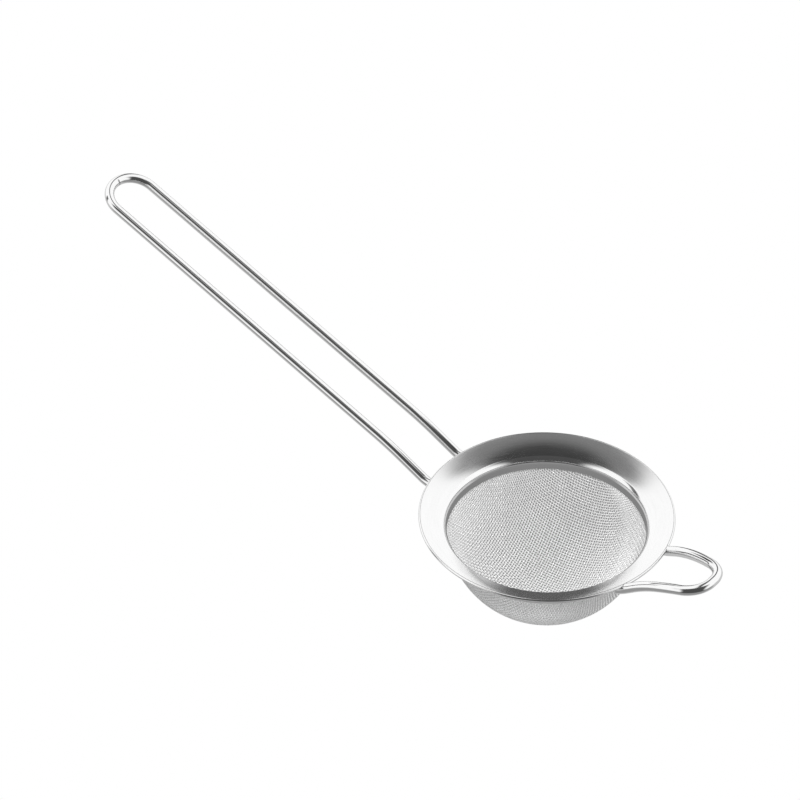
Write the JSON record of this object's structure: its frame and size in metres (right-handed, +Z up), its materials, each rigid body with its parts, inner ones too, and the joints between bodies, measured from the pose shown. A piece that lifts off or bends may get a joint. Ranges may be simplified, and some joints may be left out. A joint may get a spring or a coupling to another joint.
{
  "type": "tea strainer",
  "caption": "Fine-mesh tea strainer: round woven bowl in a flared steel rim, long hairpin wire handle and a small wire rest loop opposite.",
  "frame": {"origin": "on the bowl's axis, in the plane of the rim's highest edge", "axes": "+Z up along the bowl's axis and out of its mouth; -X along the handle, which rises as it runs out; +X towards the rest loop; +Y to the side"},
  "size_m": [0.2432, 0.08, 0.0835],
  "materials": {
    "rim_steel": "stainless sheet, fine circular satin grain",
    "woven_mesh": "bright plain-woven stainless wire",
    "polished_wire": "polished stainless wire",
    "weld_metal": "dull resistance-weld metal"
  },
  "bodies": {
    "root": {"rim_flange": "rim_steel", "mesh_bowl": "woven_mesh", "clamp_band": "rim_steel", "handle_wire": "polished_wire", "rest_loop_wire": "polished_wire", "handle_weld_left": "weld_metal", "handle_weld_right": "weld_metal", "rest_weld_left": "weld_metal", "rest_weld_right": "weld_metal"}
  },
  "joints": []
}
